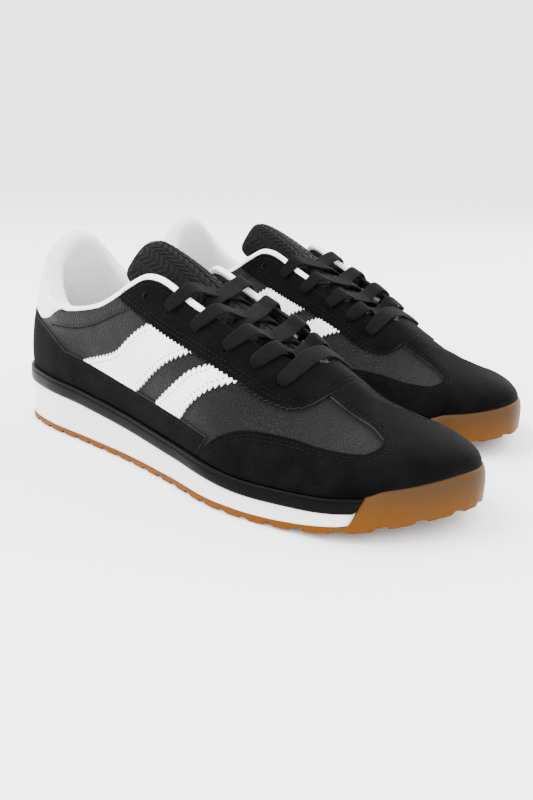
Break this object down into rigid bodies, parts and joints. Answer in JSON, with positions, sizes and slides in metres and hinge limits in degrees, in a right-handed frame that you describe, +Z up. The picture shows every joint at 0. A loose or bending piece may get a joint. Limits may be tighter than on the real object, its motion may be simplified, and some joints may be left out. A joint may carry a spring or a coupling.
{
  "type": "low-top lace-up trainers",
  "caption": "Pair of low-top lace-up trainers: suede and leather uppers with contrast bars, padded collar, flat laces, white midsole and gum rubber outsole.",
  "frame": {"origin": "middle of the pair's bounding box, on the plane the soles stand on", "axes": "+X towards the toes, +Y towards the left shoe, +Z up; the left shoe stands about 38 mm further back"},
  "size_m": [0.3304, 0.2336, 0.113],
  "materials": {
    "gum_rubber": "satin tan gum rubber, moulded",
    "midsole_foam": "smooth white moulded midsole foam",
    "black_rubber": "satin black rubber foxing",
    "fibre_board": "pressed fibre board",
    "knit_lining": "white padded ribbed knit",
    "padding_foam": "open cell padding foam",
    "grained_leather": "black pebble-grained leather, satin",
    "black_suede": "black suede, matt nap",
    "white_leather": "smooth white leather",
    "embossed_leather": "black leather embossed with a plaited pattern",
    "black_lace": "flat ribbed black cotton lace",
    "aglet_plastic": "clear black lace tip"
  },
  "bodies": {
    "right_shoe": {"right_outsole": "gum_rubber", "right_midsole": "midsole_foam", "right_midsole_band": "black_rubber", "right_lasting_board": "fibre_board", "right_quarter_lateral": "grained_leather", "right_quarter_medial": "grained_leather", "right_vamp_lining": "knit_lining", "right_toe_puff": "fibre_board", "right_heel_stiffener": "fibre_board", "right_collar_foam": "padding_foam", "right_collar_lining": "knit_lining", "right_toe_overlay": "black_suede", "right_rail_lateral": "black_suede", "right_rail_medial": "black_suede", "right_heel_counter": "black_suede", "right_heel_tab": "white_leather", "right_eyestay": "black_suede", "right_topline_binding": "white_leather", "right_bar_rear_lateral": "white_leather", "right_bar_rear_medial": "white_leather", "right_bar_front_lateral": "white_leather", "right_bar_front_medial": "white_leather", "right_tongue": "embossed_leather", "right_lace": "black_lace", "right_aglet_lateral": "aglet_plastic", "right_aglet_medial": "aglet_plastic"},
    "right_tongue_top": {"right_tongue_flap": "embossed_leather"},
    "right_insole": {"right_sockliner": "knit_lining"},
    "left_shoe": {"left_outsole": "gum_rubber", "left_midsole": "midsole_foam", "left_midsole_band": "black_rubber", "left_lasting_board": "fibre_board", "left_quarter_lateral": "grained_leather", "left_quarter_medial": "grained_leather", "left_vamp_lining": "knit_lining", "left_toe_puff": "fibre_board", "left_heel_stiffener": "fibre_board", "left_collar_foam": "padding_foam", "left_collar_lining": "knit_lining", "left_toe_overlay": "black_suede", "left_rail_lateral": "black_suede", "left_rail_medial": "black_suede", "left_heel_counter": "black_suede", "left_heel_tab": "white_leather", "left_eyestay": "black_suede", "left_topline_binding": "white_leather", "left_bar_rear_lateral": "white_leather", "left_bar_rear_medial": "white_leather", "left_bar_front_lateral": "white_leather", "left_bar_front_medial": "white_leather", "left_tongue": "embossed_leather", "left_lace": "black_lace", "left_aglet_lateral": "aglet_plastic", "left_aglet_medial": "aglet_plastic"},
    "left_tongue_top": {"left_tongue_flap": "embossed_leather"},
    "left_insole": {"left_sockliner": "knit_lining"}
  },
  "joints": [
    {"name": "left_shoe_lift", "type": "slide", "parent": "right_shoe", "child": "left_shoe", "axis": [0, 0, 1], "range_m": [0, 0.25]},
    {"name": "right_tongue_pull", "type": "hinge", "parent": "right_shoe", "child": "right_tongue_top", "pos_m": [0.00581, -0.05865, 0.099], "axis": [0, 1, 0], "range_deg": [0, 40]},
    {"name": "right_insole_lift", "type": "hinge", "parent": "right_shoe", "child": "right_insole", "pos_m": [0.14281, -0.05565, 0.025], "axis": [0, 1, 0], "range_deg": [0, 2.5]},
    {"name": "left_tongue_pull", "type": "hinge", "parent": "left_shoe", "child": "left_tongue_top", "pos_m": [-0.03219, 0.05865, 0.099], "axis": [0, 1, 0], "range_deg": [0, 40]},
    {"name": "left_insole_lift", "type": "hinge", "parent": "left_shoe", "child": "left_insole", "pos_m": [0.10481, 0.05565, 0.025], "axis": [0, 1, 0], "range_deg": [0, 2.5]}
  ]
}
